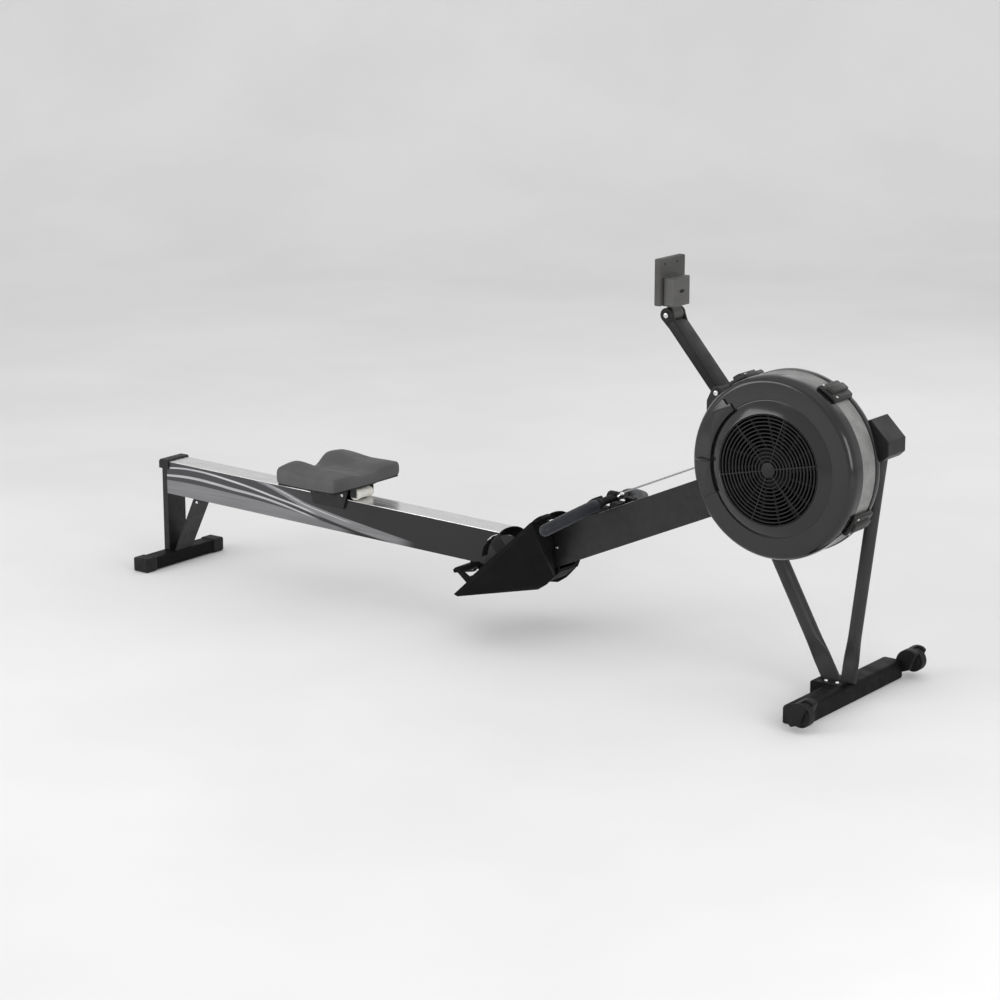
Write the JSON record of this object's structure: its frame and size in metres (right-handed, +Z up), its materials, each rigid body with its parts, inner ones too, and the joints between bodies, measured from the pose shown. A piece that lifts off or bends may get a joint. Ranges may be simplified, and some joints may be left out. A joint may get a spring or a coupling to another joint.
{
  "type": "rowing machine",
  "caption": "Indoor rowing machine with an inclined beam, caged fan flywheel, sliding seat, foot plates, chain handle and swing-up monitor.",
  "frame": {"origin": "on the floor, under the middle of the machine's bounding box", "axes": "+X from the seat end to the flywheel end, +Y the rower's left, +Z up"},
  "size_m": [2.44, 0.618, 1.0825],
  "materials": {
    "black_plastic": "fine-grained black moulding",
    "gloss_plastic": "glossy black moulding",
    "black_paint": "satin black powder coat",
    "leg_paint": "dark grey-green powder coat",
    "rail_alloy": "extruded alloy rail, dark side with silver curved stripes at the seat end",
    "fan_alloy": "black painted fan",
    "arm_alloy": "black painted arm",
    "stainless": "brushed track",
    "bright_steel": "bright fasteners, axle and chain",
    "vent_steel": "grey perforated sheet",
    "black_rubber": "matte black rubber",
    "navy_grip": "dark blue-black moulded grip",
    "seat_foam": "matte grey moulded seat",
    "white_nylon": "cream roller",
    "webbing": "black woven strap",
    "monitor_plastic": "grey moulded housing",
    "screen_glass": "grey-green display window"
  },
  "bodies": {
    "frame": {"monorail": "rail_alloy", "seat_track": "stainless", "rail_end_cap": "black_plastic", "rear_upright": "black_paint", "rear_brace": "black_paint", "rear_foot_bar": "black_paint", "rear_foot_pad_right": "black_rubber", "rear_foot_pad_left": "black_rubber", "main_beam": "black_paint", "beam_end_cap": "black_plastic", "front_leg_rear": "leg_paint", "front_leg_front": "leg_paint", "front_foot_bar": "black_paint", "caster_fork_right": "black_plastic", "caster_fork_left": "black_plastic", "footrest_bracket": "black_paint", "footboard_right": "black_plastic", "footboard_left": "black_plastic", "foot_strap_right": "webbing", "foot_strap_left": "webbing", "chain": "bright_steel", "chain_guide": "black_plastic", "handle_cradle": "black_plastic", "casing_right": "gloss_plastic", "casing_left": "gloss_plastic", "vent_band": "vent_steel", "intake_grille": "black_plastic", "casing_clamp_1": "black_plastic", "casing_clamp_2": "black_plastic", "casing_clamp_3": "black_plastic", "axle_bearing_right": "bright_steel", "axle_bearing_left": "bright_steel", "arm_bracket": "black_paint", "lower_pivot_bolt": "bright_steel"},
    "seat": {"seat_pad": "seat_foam", "seat_carriage": "black_paint"},
    "seat_roller_front": {"seat_roller_front": "white_nylon"},
    "seat_roller_rear": {"seat_roller_rear": "white_nylon"},
    "handle": {"handle_bar": "black_plastic", "grip_right": "navy_grip", "grip_left": "navy_grip", "chain_swivel": "bright_steel"},
    "sprocket": {"sprocket": "bright_steel"},
    "flywheel": {"flywheel": "fan_alloy", "flywheel_axle": "bright_steel"},
    "damper": {"damper_ring": "gloss_plastic"},
    "monitor_arm": {"monitor_arm": "arm_alloy", "upper_pivot_bolt": "bright_steel"},
    "monitor": {"monitor_housing": "monitor_plastic", "battery_cover": "monitor_plastic", "monitor_screen": "screen_glass"},
    "button_1": {"monitor_button_1": "black_rubber"},
    "button_2": {"monitor_button_2": "black_rubber"},
    "button_3": {"monitor_button_3": "black_rubber"},
    "heel_cup_right": {"heel_cup_right": "black_plastic"},
    "heel_cup_left": {"heel_cup_left": "black_plastic"},
    "caster_wheel_right": {"caster_wheel_right": "black_rubber"},
    "caster_wheel_left": {"caster_wheel_left": "black_rubber"},
    "frame_lock": {"frame_lock_lever": "black_plastic"}
  },
  "joints": [
    {"name": "seat_slide", "type": "slide", "parent": "frame", "child": "seat", "axis": [0.9997, 0, -0.0244], "range_m": [-0.48, 0.5]},
    {"name": "seat_roller_front_spin", "type": "hinge", "parent": "seat", "child": "seat_roller_front", "pos_m": [-0.477, 0, 0.31274], "axis": [0, 1, 0], "continuous": true},
    {"name": "seat_roller_rear_spin", "type": "hinge", "parent": "seat", "child": "seat_roller_rear", "pos_m": [-0.649, 0, 0.31695], "axis": [0, 1, 0], "continuous": true},
    {"name": "handle_pull", "type": "slide", "parent": "frame", "child": "handle", "axis": [-0.972, 0, 0.235], "range_m": [0, 1.15], "stiffness_N_per_m": 15, "springref_m": -0.3, "deforming": ["chain"]},
    {"name": "sprocket_spin", "type": "hinge", "parent": "frame", "child": "sprocket", "pos_m": [0.969, 0, 0.616], "axis": [0, 1, 0], "continuous": true},
    {"name": "flywheel_spin", "type": "hinge", "parent": "frame", "child": "flywheel", "pos_m": [0.969, 0, 0.616], "axis": [0, 1, 0], "continuous": true},
    {"name": "damper_swing", "type": "hinge", "parent": "frame", "child": "damper", "pos_m": [0.969, 0, 0.616], "axis": [0, 1, 0], "range_deg": [-25, 25]},
    {"name": "arm_fold", "type": "hinge", "parent": "frame", "child": "monitor_arm", "pos_m": [0.721, 0, 0.754], "axis": [0, 1, 0], "range_deg": [-40, 35]},
    {"name": "monitor_tilt", "type": "hinge", "parent": "monitor_arm", "child": "monitor", "pos_m": [0.562, 0, 0.9355], "axis": [0, 1, 0], "range_deg": [-25, 40]},
    {"name": "button_1_press", "type": "slide", "parent": "monitor", "child": "button_1", "axis": [1, 0, 0], "range_m": [0, 0.0012], "stiffness_N_per_m": 300},
    {"name": "button_2_press", "type": "slide", "parent": "monitor", "child": "button_2", "axis": [1, 0, 0], "range_m": [0, 0.0012], "stiffness_N_per_m": 300},
    {"name": "button_3_press", "type": "slide", "parent": "monitor", "child": "button_3", "axis": [1, 0, 0], "range_m": [0, 0.0012], "stiffness_N_per_m": 300},
    {"name": "heel_right_set", "type": "slide", "parent": "frame", "child": "heel_cup_right", "axis": [0.731, 0, 0.6824], "range_m": [0, 0.06]},
    {"name": "heel_left_set", "type": "slide", "parent": "frame", "child": "heel_cup_left", "axis": [0.731, 0, 0.6824], "range_m": [0, 0.06]},
    {"name": "caster_right_spin", "type": "hinge", "parent": "frame", "child": "caster_wheel_right", "pos_m": [1.139, -0.2855, 0.044], "axis": [0, 1, 0], "continuous": true},
    {"name": "caster_left_spin", "type": "hinge", "parent": "frame", "child": "caster_wheel_left", "pos_m": [1.139, 0.2855, 0.044], "axis": [0, 1, 0], "continuous": true},
    {"name": "frame_lock_swing", "type": "hinge", "parent": "frame", "child": "frame_lock", "pos_m": [-0.048, 0, 0.172], "axis": [0, 1, 0], "range_deg": [-60, 0]}
  ],
  "couplings": [
    {"joint": "seat_roller_front_spin", "follows": "seat_slide", "rad_per_m": 64.516},
    {"joint": "seat_roller_rear_spin", "follows": "seat_slide", "rad_per_m": 64.516},
    {"joint": "sprocket_spin", "follows": "handle_pull", "rad_per_m": -35.088}
  ]
}
